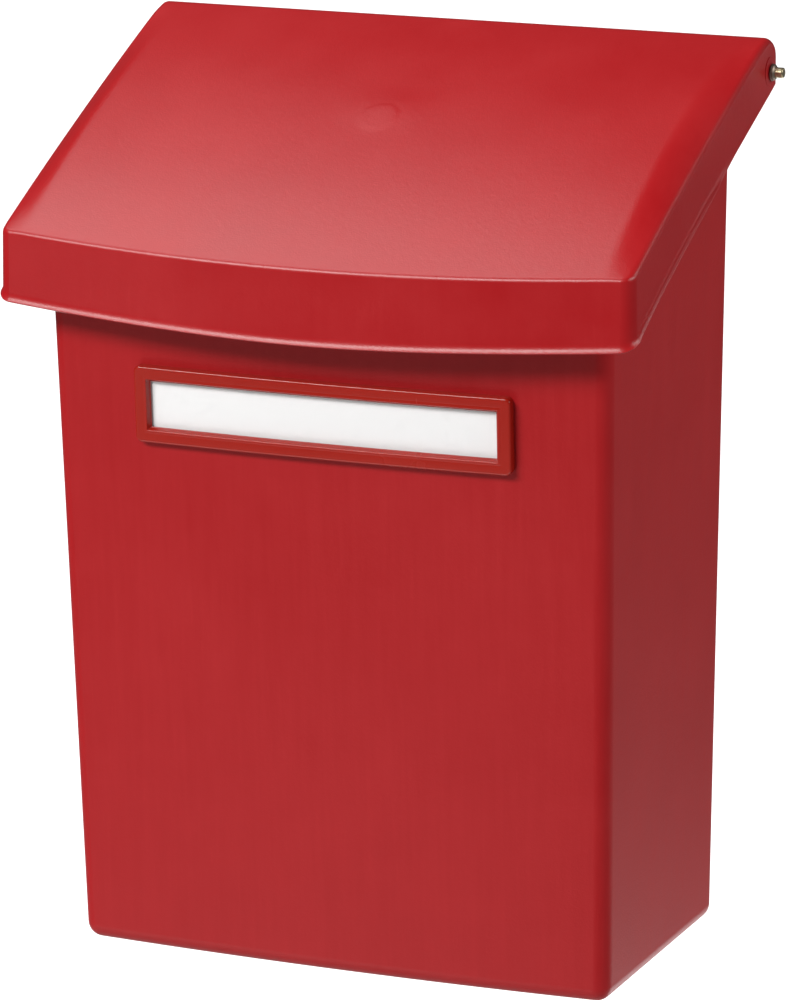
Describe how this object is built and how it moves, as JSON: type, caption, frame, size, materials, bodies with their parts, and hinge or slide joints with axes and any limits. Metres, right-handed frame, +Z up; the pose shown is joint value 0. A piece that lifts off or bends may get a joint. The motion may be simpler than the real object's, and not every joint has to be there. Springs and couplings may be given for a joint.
{
  "type": "wall mailbox",
  "caption": "Wall-hung plastic letter box with a curved lid hinged on a steel rod along the back and a clip-on name plate holder on the front.",
  "frame": {"origin": "centre of the four wall screw holes, on the wall plane", "axes": "+X to the right of someone facing the box, +Y into the wall, +Z up"},
  "size_m": [0.3258, 0.2091, 0.4292],
  "materials": {
    "body_plastic": "satin moulded polypropylene, fine grain",
    "lid_plastic": "satin moulded polypropylene, fine grain",
    "frame_plastic": "smooth glossy plastic",
    "window_clear": "thin clear plastic sheet",
    "card_white": "plain white card",
    "rod_steel": "yellow-passivated drawn steel",
    "washer_zinc": "dull zinc plate"
  },
  "bodies": {
    "box": {"body_shell": "body_plastic", "hinge_rod": "rod_steel", "washer_left": "washer_zinc", "washer_right": "washer_zinc", "retainer_left": "washer_zinc", "retainer_right": "washer_zinc", "label_frame": "frame_plastic", "label_window": "window_clear", "label_card": "card_white"},
    "lid": {"lid_shell": "lid_plastic"}
  },
  "joints": [
    {"name": "lid_hinge", "type": "hinge", "parent": "box", "child": "lid", "pos_m": [0, -0.0182, 0.2132], "axis": [-1, 0, 0], "range_deg": [0, 100]}
  ]
}
